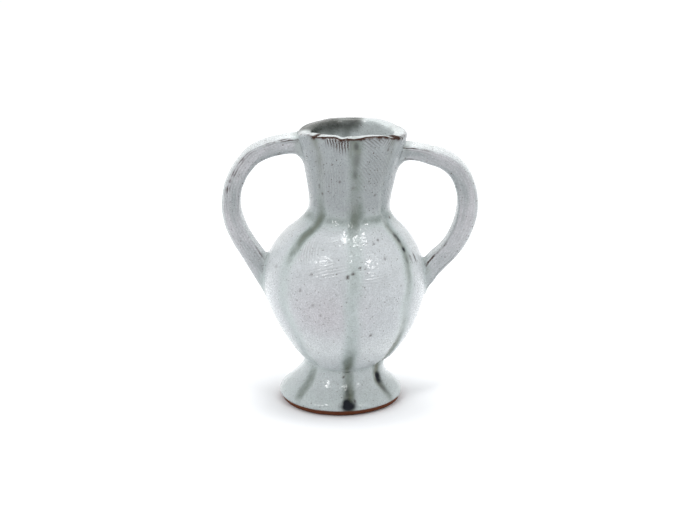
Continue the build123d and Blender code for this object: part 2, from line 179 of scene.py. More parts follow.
# Handles: each a strap along a middle line of (x, height), from inside the neck's wall to inside the
# belly's. Rows of thick and wide, half its thickness and width, and of outerBrown and innerBrown, how brown
# its edges are, are (share of the line from the top, value). Rows of flow, the width of the round joint
# with the vase, are (height, value). It stands towards -X or +X. Its unevenness starts from seed.
handles = {
    "left": {
        "line": [(-9.5, 56.4), (-11.6, 56.7), (-14.7, 56.35), (-17, 55.75), (-19, 55), (-20.75, 53.85),
                 (-22.1, 52.4), (-23.2, 50.85), (-24.05, 49.2), (-24.65, 47.7), (-25.03, 45.9),
                 (-25.25, 43.2), (-25.05, 41.2), (-24.6, 39.4), (-23.8, 37.35), (-22.6, 35.1), (-21.1, 32.7),
                 (-19.35, 29.9), (-18.05, 27.5), (-17, 25.4), (-16.5, 23.6), (-16.4, 22.2)],
        "thick": [(0, 2), (0.1, 1.92), (0.25, 1.95), (0.5, 2.07), (0.7, 2.15), (0.86, 2.2), (0.94, 1.85),
                  (1, 0.9)],
        "wide": [(0, 3.1), (0.1, 2.85), (0.3, 2.6), (0.55, 2.4), (0.8, 2.35), (0.9, 2.5), (1, 2.1)],
        "flow": [(20, 1.2), (30, 1.1), (36, 1), (44, 2), (54, 2.2), (57.5, 1), (60, 0.8)],
        "seed": 3, "towards": -1,
        "outerBrown": [(0, 0.9), (0.04, 1.2), (0.13, 1), (0.2, 0.4), (0.28, 1.1), (0.42, 1.1), (0.5, 0.3),
                       (0.7, 0.1), (1, 0)],
        "innerBrown": [(0, 0), (0.05, 0.35), (0.2, 0.3), (0.3, 0), (0.68, 0), (0.78, 0.8), (0.88, 0.9),
                       (0.94, 0.3), (1, 0)],
    },
    "right": {
        "line": [(9.9, 54.8), (12, 55.05), (15.1, 54.7), (17.3, 54.05), (19.25, 53.45), (21, 52.45),
                 (22.4, 51.2), (23.5, 49.7), (24.25, 48), (24.75, 46.4), (25, 44), (24.93, 42.1),
                 (24.7, 40.7), (24.3, 39.3), (23.4, 37), (22.3, 35), (20.8, 33), (18.5, 30.7), (16.9, 28.7),
                 (15.9, 26.6), (15.5, 24.6)],
        "thick": [(0, 1.75), (0.1, 1.72), (0.22, 1.9), (0.4, 2.2), (0.5, 2.27), (0.62, 2.22), (0.75, 2.12),
                  (0.88, 2.15), (0.95, 1.9), (1, 1)],
        "wide": [(0, 3.1), (0.1, 2.9), (0.3, 2.65), (0.5, 2.45), (0.7, 2.2), (0.85, 2.3), (0.93, 2.4),
                 (1, 2)],
        "flow": [(20, 1.2), (30, 1), (36, 0.9), (44, 1.8), (53, 2), (56, 0.8), (60, 0.6)],
        "seed": 8, "towards": 1,
        "outerBrown": [(0, 0.9), (0.1, 1.1), (0.16, 0.8), (0.24, 0.3), (0.3, 0), (0.7, 0), (0.78, 0.3),
                       (1, 0)],
        "innerBrown": [(0, 0.7), (0.06, 1), (0.12, 0.5), (0.18, 0), (0.7, 0), (0.78, 1), (0.88, 1.1),
                       (0.94, 0.3), (1, 0)],
    },
    # Rounding of the edges, how flat the faces are, mesh rows along and points around, and the hand's waves.
    "edge": 0.95, "squareness": 2.8, "steps": 420, "around": 96, "handWaves": 0.05, "fineWaves": 0.03,
    # The ends lie sunk under the vase's surface. Distances are taken from lineSteps points of the line, each
    # standing for halfStep both ways. The vase rises to a strap in jointBox, and the glaze changes in near.
    "sunk": 1.35, "lineSteps": 140, "halfStep": 0.35, "near": (1.9, 0.5),
    "jointBox": {"out": 4, "high": 15, "beside": 9},
}


def surfaceRadius(height):
    return smoothTable(vase["outline"], height)


def axisShift(height):
    return smoothTable(vase["axis"], height)


def handleLine(side, steps):
    # Middle line of a strap read at even steps, with its direction and the unit vector across it that points
    # away from the vase.
    line = smoothPath(side["line"], steps)
    ahead = np.gradient(line, axis=0)
    ahead /= np.linalg.norm(ahead, axis=1)[:, None]
    away = np.stack([ahead[:, 1], -ahead[:, 0]], 1)
    return line, ahead, away * np.sign(np.mean(line[:, 0] * away[:, 0]))


def handleDistance(side, points):
    # Distance from points to a strap's surface. The nearest step of its middle line is found, and there the
    # strap is a box with rounded edges: the distance is that to the smaller box inside, less the rounding.
    line, ahead, away = handleLine(side, handles["lineSteps"])
    share = np.linspace(0, 1, len(line))
    near = np.full(len(points), np.inf)
    step = np.zeros(len(points), int)
    for i in range(len(line)):
        d = (points[:, 0] - line[i, 0]) ** 2 + (points[:, 2] - line[i, 1]) ** 2
        closer = d < near
        near[closer] = d[closer]
        step[closer] = i
    fromLine = points[:, [0, 2]] - line[step]
    across = (fromLine * away[step]).sum(1)
    past = np.maximum(np.abs((fromLine * ahead[step]).sum(1)) - handles["halfStep"], 0)
    at = share[step]
    a = np.abs(across) - smoothTable(side["thick"], at) + handles["edge"]
    b = np.abs(points[:, 1]) - smoothTable(side["wide"], at) + handles["edge"]
    box = np.hypot(np.maximum(a, 0), np.maximum(b, 0)) + np.minimum(np.maximum(a, b), 0) - handles["edge"]
    return np.hypot(np.maximum(box, 0), past) + np.minimum(box, 0)


def vaseDistance(points):
    # Distance from points to the outside of the vase: how far they stand past its radius, measured square to
    # its slope, less the push of the surface there.
    height = points[:, 2]
    slope = (surfaceRadius(height + 0.1) - surfaceRadius(height - 0.1)) / 0.2
    out = points[:, 0] - axisShift(height)
    azimuth = np.degrees(np.arctan2(out, -points[:, 1]))
    radius = surfaceRadius(height)
    past = (np.hypot(out, points[:, 1]) - radius) / np.sqrt(1 + slope**2)
    return past - surfacePush(height, azimuth, radius)


def flowLift(other, flow):
    # Where two surfaces flow together in a round joint of that width, each is lifted by the square of
    # (root of the width - root of the distance to the other). Past their meeting line, at a quarter of the
    # width, it stays on that curve but a little under it, and from a sixteenth on it dives under.
    curve = (np.sqrt(flow) - np.sqrt(np.clip(other, flow / 16, flow))) ** 2
    under = 0.12 * np.maximum(flow / 4 - other, 0) + 2.4 * np.maximum(flow / 16 - other, 0)
    return np.maximum(curve - under, -flow / 4)


def settle(points, outwards, flow, distance, halvings=12):
    # Lift of each point along its outward direction at which it equals what flowLift asks for there, found
    # by halving the range.
    low, high = -flow / 4, flow
    for _ in range(halvings):
        middle = (low + high) / 2
        short = flowLift(distance(points + middle[:, None] * outwards), flow) > middle
        low, high = np.where(short, middle, low), np.where(short, high, middle)
    return (low + high) / 2


def grooveField(height, azimuth, radius, key):
    # Strongest groove at each place: a bell across the surface times a value that varies with height. At the
    # back the grooves run out below the lip. Below the neck the pool's bell has the flatter top of a cube.
    best = np.zeros_like(height)
    for line in grooves["lines"]:
        across = np.radians(turnBetween(azimuth, smoothTable(line["run"], height))) * radius
        if key == "depth":
            strength = bell(across, 0, grooves["width"]) * smoothTable(grooves["depth"], height)
            atBack = np.abs(turnBetween(azimuth, 180)) < 90
            strength = strength * np.where(atBack, softStep(58.5, 55, height), 1)
        elif key == "pool":
            across = across + grooves["wander"] * wobble(21, height * 0.5, azimuth * 0.03)
            upNeck = softStep(39, 46, height)
            wide = grooves["poolWidth"] + grooves["neckWidening"] * upNeck
            strength = np.exp(-((np.abs(across) / wide) ** (3 - upNeck)))
            strength = strength * smoothTable(line["pool"], height)
        else:
            across = across + grooves["wander"] * wobble(22, height * 0.9, azimuth * 0.05)
            wide = grooves["oliveWidth"] - grooves["oliveNarrowing"] * band(height, 25, 32, 40, 46)
            strength = bell(across, 0, wide) * smoothTable(line["olive"], height)
        best = np.maximum(best, strength)
    return best


def surfacePush(height, azimuth, radius):
    # How far the outside stands out from its outline: minus the grooves and the skin, with a hand's waves.
    turn = np.radians(azimuth)
    x, y = np.sin(turn), np.cos(turn)
    push = -grooveField(height, azimuth, radius, "depth")
    push = push - vase["skin"] - vase["handWaves"] * wobble(5, x * 3, y * 3, height * 0.28)
    return push + vase["fineWaves"] * wobble(6, x * 14, y * 14, height * 1.3)


def lipDrop(azimuth):
    # How far the rim dips: its table read by azimuth, with small waves.
    drop = smoothTable(vase["rim"], turnBetween(azimuth, 0)) + vase["rimWaves"] * wobble(31, azimuth * 0.07)
    return np.maximum(drop, vase["leastDip"])


def outsideRows(fineSteps=4000):
    # Radius and height of the mesh's rows on the outside: along the outline, close where rowStep is small.
    heights = np.linspace(vase["outline"][0][0], vase["outline"][-1][0], fineSteps)
    line = np.stack([surfaceRadius(heights), heights], 1)
    each = np.linalg.norm(np.diff(line, axis=0), axis=1) / smoothTable(vase["rowStep"], heights[1:])
    count = np.concatenate([[0], np.cumsum(each)])
    rows = np.interp(np.linspace(0, count[-1], int(round(count[-1]))), count, heights)
    return np.stack([surfaceRadius(rows), rows], 1)


def buildVase():
    # Each point is the profile's point at a row, pushed along the profile's own normal by the grooves, the
    # unevenness and the joints with the handles, then turned to its azimuth about the wandering axis.
    under = smoothPath(vase["footHollow"], vase["rowsUnder"])
    outside = outsideRows()
    lip = smoothPath(vase["lip"], vase["rowsLip"])
    inside = smoothPath(vase["inside"], vase["rowsInside"])
    profile = np.concatenate([under, outside[1:], lip[1:], inside[1:]])
    rows, turns = len(profile), vase["turns"]
    along = np.gradient(profile, axis=0)
    along /= np.linalg.norm(along, axis=1)[:, None]
    normal = np.stack([along[:, 1], -along[:, 0]], 1)
    first = len(under) - vase["overlapRows"]
    last = len(under) + len(outside) + vase["overlapRows"]
    outer = np.zeros(rows)
    outer[first:last] = 1
    outer[last:last + vase["fadeRows"]] = np.linspace(1, 0, vase["fadeRows"])

    azimuth = np.arange(turns) * 360 / turns
    radius, azimuthGrid = np.meshgrid(profile[:, 0], azimuth, indexing="ij")
    height = np.meshgrid(profile[:, 1], azimuth, indexing="ij")[0]
    outerGrid = np.repeat(outer[:, None], turns, 1)
    turn = np.radians(azimuthGrid)
    push = surfacePush(height, azimuthGrid, radius) * outerGrid
    out, up = radius + push * normal[:, :1], height + push * normal[:, 1:]
    plain = np.stack([axisShift(up) + out * np.sin(turn), -out * np.cos(turn), up], -1)
    outwards = np.stack([normal[:, :1] * np.sin(turn), -normal[:, :1] * np.cos(turn),
                         normal[:, 1:] * np.ones(turns)], -1)
    box = handles["jointBox"]
    inBox = (outerGrid == 1) & (np.abs(plain[..., 1]) < box["beside"]) & (plain[..., 2] > box["high"])
    for name in ("left", "right"):
        side = handles[name]
        close = inBox & (side["towards"] * plain[..., 0] > box["out"])
        flow = smoothTable(side["flow"], plain[close][:, 2])
        push[close] += settle(plain[close], outwards[close], flow, lambda p: handleDistance(side, p))
    radius = np.maximum(radius + push * normal[:, :1], 0)
    height = height + push * normal[:, 1:]
    drop = lipDrop(azimuthGrid) * softStep(*vase["dip"], height)
    height = np.where(profile[:, 1:] > vase["rimFrom"], np.minimum(height, vase["top"]) - drop, height)
    onGround = profile[:, 1:] < 0.001
    height = np.where(onGround, 0.0, np.maximum(height, 0.0))
    x = axisShift(height) + radius * np.sin(turn)
    flat = vase["frontFlat"] * softStep(vase["neckMiddle"], 60, height) * np.maximum(np.cos(turn), 0) ** 2
    points = np.stack([x, -radius * np.cos(turn) + flat, height], -1)

    rowOf = np.arange(rows)[:, None] * np.ones(turns, int)
    return points, {"height": height, "azimuth": azimuthGrid, "radius": radius, "row": rowOf,
                    "under": len(under), "lipFrom": len(under) + len(outside) - 1,
                    "lipTo": len(under) + len(outside) + len(lip) - 2}


def gridMesh(name, points):
    # Quads between neighbouring rows and columns of a grid of points. Columns run on from the last to the
    # first, and each end row is closed by a fan about one more point at its middle.
    rows, columns = points.shape[:2]
    a = np.arange(rows - 1)[:, None] * columns + np.arange(columns)
    b = np.arange(rows - 1)[:, None] * columns + (np.arange(columns) + 1) % columns
    quads = np.stack([a, b, b + columns, a + columns], -1).reshape(-1, 4)
    flat = np.concatenate([points.reshape(-1, 3), [points[0].mean(0), points[-1].mean(0)]])
    here = np.arange(columns)
    ahead = (here + 1) % columns
    lastRow = (rows - 1) * columns
    startFan = np.stack([ahead, here, np.full(columns, rows * columns)], -1)
    endFan = np.stack([lastRow + here, lastRow + ahead, np.full(columns, rows * columns + 1)], -1)
    mesh = bpy.data.meshes.new(name)
    mesh.from_pydata((flat * mm).tolist(), [], quads.tolist() + startFan.tolist() + endFan.tolist())
    mesh.polygons.foreach_set("use_smooth", np.ones(len(mesh.polygons), bool))
    mesh.update()
    made = bpy.data.objects.new(name, mesh)
    bpy.context.scene.collection.objects.link(made)
    return made


def setFacts(piece, facts):
    # One number of each fact for each vertex, with the two end points taking the mean of their row.
    for name, grid in facts.items():
        values = np.concatenate([grid.reshape(-1), [grid[0].mean(), grid[-1].mean()]]).astype(np.float32)
        piece.data.attributes.new(name, "FLOAT", "POINT").data.foreach_set("value", values)


def buildHandle(side):
    # Each point is the middle line's point at a step plus a rounded box section: the inner box's side, drawn
    # over softly by a hyperbolic tangent of the angle's cosine or sine, plus the edge radius times that
    # cosine or sine. Then it is lifted into the joints, and kept from lying deeper in the vase than sunk.
    line, _, away = handleLine(side, handles["steps"])
    share = np.linspace(0, 1, len(line))[:, None]
    angle = np.arange(handles["around"]) * 2 * np.pi / handles["around"]
    cosine, sine = np.cos(angle), np.sin(angle)
    edge, square = handles["edge"], handles["squareness"]
    bump = handles["handWaves"] * wobble(side["seed"], share * 16, cosine * 1.6, sine * 1.6)
    bump = bump + handles["fineWaves"] * wobble(side["seed"] + 1, share * 40, cosine * 5, sine * 5)
    across = (smoothTable(side["thick"], share) - edge) * np.tanh(square * cosine) + (edge + bump) * cosine
    beside = (smoothTable(side["wide"], share) - edge) * np.tanh(square * sine) + (edge + bump) * sine
    points = np.stack([line[:, :1] + across * away[:, :1], beside, line[:, 1:] + across * away[:, 1:]], -1)
    outwards = np.stack([cosine * away[:, :1], sine * np.ones_like(across), cosine * away[:, 1:]], -1)
    shape = points.shape
    points, outwards = points.reshape(-1, 3), outwards.reshape(-1, 3)
    flow = smoothTable(side["flow"], points[:, 2])
    lift = np.maximum(settle(points, outwards, flow, vaseDistance), 0)
    points = points + lift[:, None] * outwards
    for _ in range(3):
        deep = np.maximum(-handles["sunk"] - vaseDistance(points), 0)
        outX = points[:, 0] - axisShift(points[:, 2])
        reach = np.hypot(outX, points[:, 1])
        points[:, 0] += deep * outX / reach
        points[:, 1] += deep * points[:, 1] / reach
    on = {"share": share + 0 * across, "cosine": cosine + 0 * across, "sine": sine + 0 * across,
          "across": across, "beside": beside}
    # The right strap's rows run the other way, so that its faces look outwards.
    order = -side["towards"]
    return points.reshape(shape)[::order], {key: grid[::order] for key, grid in on.items()}


# Iron in the clay bleeds black into the glaze, and rust-brown clay shows where the glaze is thin. Rows are
# (azimuth, height, half width across, half height, strength).
marks = {
    "black": [(7.4, 2.2, 1.6, 0.95, 1), (6.4, 2.75, 1.05, 0.7, 1), (58.6, 6.1, 0.95, 0.95, 0.85),
              (57.6, 5.2, 0.8, 0.7, 0.8), (56.5, 3.9, 0.6, 1.2, 0.4), (59, 35.5, 0.45, 0.45, 1),
              (58.5, 38.1, 0.7, 0.45, 0.6), (59.5, 37.3, 0.5, 0.6, 0.65), (57, 33.4, 0.3, 0.6, 0.35),
              (8.5, 4.2, 0.45, 1.3, 0.4), (4.4, 58, 0.5, 0.8, 0.5), (182, 3, 1, 0.9, 0.9),
              (243, 34, 0.5, 0.9, 0.7), (118, 12, 0.45, 0.8, 0.6), (135, 37, 0.35, 0.35, 0.7),
              (5, 55, 0.7, 1.6, 0.3), (4.5, 52.2, 0.5, 1.2, 0.3)],
    "rust": [(-45, 59.5, 0.6, 0.55, 1.2), (57, 59.2, 1.1, 0.7, 1.2), (64, 58.7, 0.5, 0.35, 0.9),
             (72, 58.9, 0.35, 0.3, 0.9), (78, 58.3, 0.5, 0.25, 0.8), (70, 57.9, 0.3, 0.25, 0.7),
             (2.6, 32.2, 0.4, 0.32, 1), (6.6, 32.8, 0.38, 0.3, 0.9), (12, 33.8, 0.3, 0.26, 0.9),
             (27, 37.9, 0.28, 0.24, 0.7), (32.6, 38.4, 0.28, 0.24, 0.7), (33.7, 35.1, 0.3, 0.26, 0.6),
             (-31.5, 28.9, 0.34, 0.32, 0.7), (-59.5, 32.1, 0.5, 0.4, 0.4), (19.7, 19, 0.32, 0.28, 0.9),
             (-24.2, 32.3, 0.3, 0.26, 0.7), (-41.6, 47.3, 0.32, 0.3, 0.8), (-45.7, 49, 0.28, 0.34, 0.6),
             (-14, 50.5, 0.3, 0.28, 0.7), (41.7, 56.9, 0.28, 0.26, 0.8), (2.6, 49.3, 0.3, 0.28, 0.5),
             (34, 47.2, 0.3, 0.3, 0.7), (62, 33.6, 0.35, 0.9, 0.5), (68, 33.4, 0.35, 1.1, 0.75),
             (70, 41.3, 0.32, 0.3, 0.8), (1.5, 7.3, 0.28, 0.26, 0.9), (15, 3, 0.28, 0.3, 0.8),
             (-17, 24, 0.34, 0.32, 0.5), (-22, 26, 0.34, 0.32, 0.5), (150, 46, 0.4, 0.4, 0.7),
             (205, 40, 0.5, 0.35, 0.6), (160, 20, 0.4, 0.4, 0.7), (222, 25, 0.35, 0.35, 0.7),
             (275, 50, 0.32, 0.32, 0.6), (85, 20, 0.4, 0.32, 0.6), (190, 55, 0.34, 0.4, 0.7)],
}

# Fine ridges left in the clay by fingers, ridgePitch of the glaze apart: rows are (azimuth, height, half
# size across, half size up, slant in degrees from upright, bend per mm, strength).
ridges = [
    (-25, 52, 6, 6, 2, 0.010, 0.6), (26, 53, 6, 6, 42, 0.018, 0.8), (3, 45.5, 3.5, 3.5, 4, 0, 0.4),
    (42, 57.3, 2.6, 1.8, -35, 0, 0.8), (-33, 35.9, 3, 2.8, 22, -0.05, 0.65),
    (-15, 33.6, 6.5, 1.7, 105, 0.012, 0.4), (26, 31, 6, 1.7, 94, -0.02, 0.35),
    (-15, 24.5, 6, 4, 20, 0.03, 0.15), (24, 24, 6, 5, -30, 0.02, 0.15), (66, 50, 4, 5, 6, 0.01, 0.5),
    (-66, 50, 4, 5, -5, 0.01, 0.5), (120, 52, 6, 6, -30, 0.02, 0.8), (178, 50, 6, 6, 10, 0.02, 0.7),
    (235, 52, 6, 6, 30, -0.02, 0.8), (150, 34, 6, 3, 75, 0.02, 0.6), (212, 33, 6, 3, 100, -0.02, 0.6),
    (105, 30, 5, 4, 15, 0.03, 0.4), (265, 30, 5, 4, -20, 0.03, 0.4), (-10, 55.5, 5, 3, 0, 0, 0.5),
]


def markField(rows, height, azimuth, radius):
    # Strongest mark at each place: a flat-topped bell whose edge is made ragged by a little unevenness.
    best = np.zeros_like(height)
    ragged = 1 + 0.18 * wobble(41, azimuth * 0.22, height * 1.9)
    for at, level, across, up, strength in rows:
        far = (np.radians(turnBetween(azimuth, at)) * radius / across) ** 2 + ((height - level) / up) ** 2
        best = np.maximum(best, strength * np.exp(-((far * ragged) ** 1.6)))
    return best


def ridgeField(height, azimuth, radius):
    # For each place the patch of ridges that is strongest there: the distance across its ridges, and how far
    # it is ahead of the next patch, times 1.4, so that the ridges fade out where two patches meet.
    first, second, across = np.zeros_like(height), np.zeros_like(height), np.zeros_like(height)
    for at, level, wide, tall, slant, bend, strength in ridges:
        s = np.radians(turnBetween(azimuth, at)) * radius
        v = height - level
        weight = strength * np.exp(-((s / wide) ** 2 + (v / tall) ** 2) ** 1.5)
        c, d = math.cos(math.radians(slant)), math.sin(math.radians(slant))
        line = s * c + v * d + bend * (v * c - s * d) ** 2
        ahead = weight > first
        second = np.where(ahead, first, np.maximum(second, weight))
        across = np.where(ahead, line, across)
        first = np.where(ahead, weight, first)
    return across, np.clip((first - second) * 1.4, 0, 1)


# How the glaze lies on the vase. Rows of creases, where it pools, are (height, half width, how full). Then
# there are bands of degrees from the front: where dark glaze has run down inside the mouth to darkFrom,
# where the lip's brown line is unbroken, where it is less patchy, and, each after its strength, where the
# ridges above wearEnd are brown. The foot's ring is bare up to ringEdge. Faces over dryFrom are dry clay.
vaseGlaze = {
    "creases": [(41.9, 1.5, 0.8), (8.4, 0.7, 0.5)], "rootPool": 0.45, "insidePool": 0.2, "rimPool": 0.3,
    "darkWall": (160, 174, 256, 272), "darkFrom": 56.4, "frontLine": (-54, -44, 50, 60),
    "rightLine": (52, 62, 85, 95), "lineWidth": 1.6, "wearEnd": 57.2, "ringEdge": (1.4, 1.15),
    "lipWear": [(1, -31, -26, -5, 1), (0.5, 8, 14, 46, 54), (0.8, 54, 60, 84, 96)], "dryFrom": 0.55,
}


def vaseFacts(points, at):
    # What the glaze's material reads at each point, mostly from 0 to 1, but ridgeAcross, the distance across
    # the fine ridges, is in mm. Beside these facts, how dry each point is.
    height, azimuth, radius, row = at["height"], at["azimuth"], at["radius"], at["row"]
    signed = turnBetween(azimuth, 0)
    around = np.abs(signed)
    isInside = row > at["lipTo"] - 4
    isLip = (row >= at["lipFrom"]) & (row <= at["lipTo"])
    isRim = isLip & (row > at["lipFrom"] + 3)
    isOut = (row >= at["under"]) & ~isInside
    joint = np.zeros_like(height)
    for name in ("left", "right"):
        far = handleDistance(handles[name], points.reshape(-1, 3)).reshape(height.shape)
        joint = np.maximum(joint, softStep(*handles["near"], far) * isOut)

    # Glaze pools in the grooves, in the creases at neck and waist, on the foot and round the handles' roots.
    pool = grooveField(height, azimuth, radius, "pool")
    for level, wide, full in vaseGlaze["creases"]:
        pool = np.maximum(pool, full * bell(height, level, wide))
    pool = np.maximum(pool, 0.15 * softStep(5.5, 3.0, height) + 0.3 * softStep(9, 7.5, height))
    pool = np.maximum(pool, vaseGlaze["rootPool"] * joint) * isOut
    pool = np.where(isInside, vaseGlaze["insidePool"], np.where(isRim, vaseGlaze["rimPool"], pool))
    olive = grooveField(height, azimuth, radius, "olive") * isOut
    olive = olive * (0.8 + 0.35 * wobble(23, azimuth * 0.2, height * 1.3)) * (1 - 0.6 * isLip)

    # Dark glaze inside the mouth, whose uneven lower end is 1.8 mm higher at one side.
    low = vaseGlaze["darkFrom"] + 0.8 * wobble(33, azimuth * 0.1) + softStep(205, 165, azimuth) * 1.8
    darkWall = band(azimuth, *vaseGlaze["darkWall"]) * softStep(-0.5, 0.6, height - low)
    darkWall = darkWall * np.clip(0.95 + 0.2 * wobble(24, azimuth * 0.2, height * 1.2), 0, 1)
    darkWall = darkWall * (row > at["lipFrom"] + 2)
    olive = np.maximum(olive, 0.85 * darkWall)
    ironSpots = markField(marks["black"], height, azimuth, radius) * isOut
    black = np.maximum(ironSpots, (0.05 + 0.5 * isLip) * darkWall)

    # Brown line where the glaze is thin over the lip's outer edge: unbroken at the front, patchy elsewhere.
    rust = 0.85 * markField(marks["rust"], height, azimuth, radius) * isOut
    line = bell(row - at["lipFrom"], 2.5 - 0.9 * wobble(25, azimuth * 0.3), vaseGlaze["lineWidth"])
    atFront = band(signed, *vaseGlaze["frontLine"])
    patchy = softStep(0.1, 0.7, wobble(26, azimuth * 0.35) + 0.4 * wobble(27, azimuth * 1.1))
    elsewhere = (0.35 + 0.5 * band(signed, *vaseGlaze["rightLine"])) * patchy
    line = line * (atFront * (1.05 + 0.2 * wobble(28, azimuth * 0.5)) + (1 - atFront) * elsewhere)
    rust = np.maximum(rust, np.clip(1.5 * line, 0, 1.2) * (row >= at["lipFrom"] - 4))

    # Below that line the ridges are worn in patches, 1.4 mm further down left of the middle.
    wear = sum(strength * band(signed, *turns) for strength, *turns in vaseGlaze["lipWear"])
    wear = wear + 0.35 * softStep(90, 110, around)
    wearEnd = vaseGlaze["wearEnd"] - 1.4 * bell(signed, -10, 9)
    wear = wear * softStep(0, 2.2, height - wearEnd) * isOut * (row < at["lipFrom"] + 4)
    unevenEdge = 0.1 * wobble(29, azimuth * 0.25) + 0.05 * wobble(30, azimuth * 1.1)
    bare = softStep(*vaseGlaze["ringEdge"], height + unevenEdge)
    bare = np.where(row < at["under"], 1.0, bare * (row < at["lipFrom"]))

    # Glossy on shoulder, foot and lip and where it is deep, pink on belly and neck, and grey on the neck,
    # partly painted shade, less towards the sides. Painted light: paler low on the body, where light bounced
    # from the floor falls, towards the sides, where more light falls, and on the rim's top. Paler inside the
    # mouth too.
    gloss = band(height, 29.5, 34, 42, 45.5) + softStep(14, 8, height)
    gloss = np.clip(gloss + isLip + 0.9 * isInside + 0.7 * pool + 0.15, 0, 1)
    gloss = gloss * (1 - 0.8 * np.maximum(ironSpots, rust))
    pink = 0.6 * bell(turnBetween(azimuth, -14), 0, 28) * bell(height, 23.5, 7)
    pink = np.clip(pink + 0.3 * bell(height, 53, 6), 0, 1) * isOut
    greyAndPaintedShade = softStep(40.5, 45, height) * (1 - 0.35 * softStep(50, 80, around)) * isOut
    paleAndPaintedLight = 0.75 * bell(height, 14.5, 4.0) + 0.5 * softStep(52, 80, around)
    paleAndPaintedLight = np.where(isRim, 1.0, np.clip(paleAndPaintedLight, 0, 1) * isOut + 0.6 * isInside)
    ridgeAcross, ridgeStrength = ridgeField(height, azimuth, radius)
    facts = {"pool": pool, "olive": olive, "black": black, "rust": rust, "wear": wear, "bare": bare,
             "gloss": gloss, "pink": pink, "greyAndPaintedShade": greyAndPaintedShade, "paleAndPaintedLight": paleAndPaintedLight, "ridgeAcross": ridgeAcross,
             "ridgeStrength": ridgeStrength * isOut * (1 - 0.7 * wear)}
    return facts, np.maximum(bare, np.maximum(black, 0.75 * rust) * isOut)


# How the glaze lies on the handles. Tables are (share of the strap's length from its top, value). The brown
# edges run where the cosine of the angle from the strap's outer face is outerEdge and innerEdge.
handleGlaze = {
    "outerEdge": [(0, 0.5), (0.2, 0.45), (0.3, 0.33), (0.45, 0.33), (0.6, 0.45), (1, 0.6)],
    "innerEdge": -0.55,
    "pink": [(0, 0.4), (0.6, 0.45), (0.9, 0.1), (1, 0)],
    "greyAndPaintedShade": [(0, 0.2), (0.15, 0.35), (0.4, 0.4), (0.7, 0.15), (0.85, 0), (1, 0)],
    # Painted light: how much paler the outer and inner faces are made, by share.
    "outerPaintedLight": [(0, 0.85), (0.6, 0.85), (0.8, 0.35), (1, 0.2)],
    "innerPaintedLight": [(0, 0.5), (0.2, 0.8), (0.6, 0.9), (0.85, 0.5), (1, 0.2)],
}


def handleFacts(side, points, on):
    # The same facts on a handle: brown streaks and spots along its edges, greyer streaks lengthwise with
    # painted shade on the strap's front and back faces, painted light on its outer and inner faces, and fine
    # ridges along it that fade towards its ends.
    share, cosine, sine, seed = on["share"], on["cosine"], on["sine"], side["seed"]
    joint = softStep(*handles["near"], vaseDistance(points.reshape(-1, 3)).reshape(share.shape))
    table = {key: smoothTable(handleGlaze[key], share) for key in handleGlaze if key != "innerEdge"}
    outerEdge, innerEdge = table["outerEdge"], handleGlaze["innerEdge"]
    outerBrown, innerBrown = smoothTable(side["outerBrown"], share), smoothTable(side["innerBrown"], share)
    streaks = wobble(seed + 40, share * 45, cosine * 3, sine * 3) + 0.4 * wobble(seed + 41, share * 13)
    streaks = softStep(-0.35, 0.5, streaks)
    wear = outerBrown * bell(cosine, outerEdge, 0.2) + innerBrown * bell(cosine, innerEdge, 0.2)
    spots = np.maximum(softStep(0.5, 1.0, outerBrown) * bell(cosine, outerEdge, 0.12),
                       softStep(0.5, 1.0, innerBrown) * bell(cosine, innerEdge, 0.14))
    spots = 0.5 * spots * softStep(-0.1, 0.9, wobble(seed + 45, share * 150, cosine * 9))
    lengthwise = wobble(seed + 43, share * 9, cosine * 5, sine * 5)
    lengthwise = lengthwise + 0.6 * wobble(seed + 44, share * 24, cosine * 9)
    # Greyer along lengthwise streaks, and painted shade on the strap's front and back faces.
    greyAndPaintedShade = np.clip(table["greyAndPaintedShade"] + 0.2 * bell(cosine, -0.1, 0.35) + 0.6 * lengthwise, 0, 1.3)
    # Painted light: paler outer and inner faces.
    paleAndPaintedLight = np.maximum(softStep(0.25, 0.7, cosine) * table["outerPaintedLight"],
                      softStep(-0.5, -0.85, cosine) * table["innerPaintedLight"])
    ridgeAcross = on["across"] + on["beside"] + 0.3 * wobble(seed + 42, share * 6, cosine, sine)
    return {"pool": vaseGlaze["rootPool"] * joint, "olive": 0.2 * joint * streaks, "black": 0 * share,
            "rust": spots, "wear": wear * streaks, "bare": 0 * share, "gloss": 0.15 + 0.3 * joint,
            "pink": table["pink"], "greyAndPaintedShade": greyAndPaintedShade, "paleAndPaintedLight": paleAndPaintedLight, "ridgeAcross": ridgeAcross,
            "ridgeStrength": 0.5 * band(share, 0.05, 0.15, 0.87, 0.97)}


vasePoints, at = buildVase()
vasePiece = gridMesh("glazedVase", vasePoints)
facts, dry = vaseFacts(vasePoints, at)
setFacts(vasePiece, facts)
print("vase:", len(vasePiece.data.polygons), "faces")

handlePieces = []
for name in ("left", "right"):
    points, on = buildHandle(handles[name])
    piece = gridMesh("glazed" + name.capitalize() + "Handle", points)
    setFacts(piece, handleFacts(handles[name], points, on))
    handlePieces.append(piece)
    print(name, "handle:", len(piece.data.polygons), "faces")


def linear(hexColour):
    # sRGB hex to the linear values that shaders take.
    channels = [int(hexColour[i:i + 2], 16) / 255 for i in (1, 3, 5)]
    return tuple(c / 12.92 if c <= 0.04045 else ((c + 0.055) / 1.055) ** 2.4 for c in channels) + (1.0,)


def addNode(tree, kind, inputs=None, **settings):
    # One node with its settings. Each input takes a value or the socket that feeds it.
    made = tree.nodes.new(kind)
    for name, value in settings.items():
        setattr(made, name, value)
    for key, value in (inputs or {}).items():
        if isinstance(value, bpy.types.NodeSocket):
            tree.links.new(value, made.inputs[key])
        else:
            made.inputs[key].default_value = value
    return made


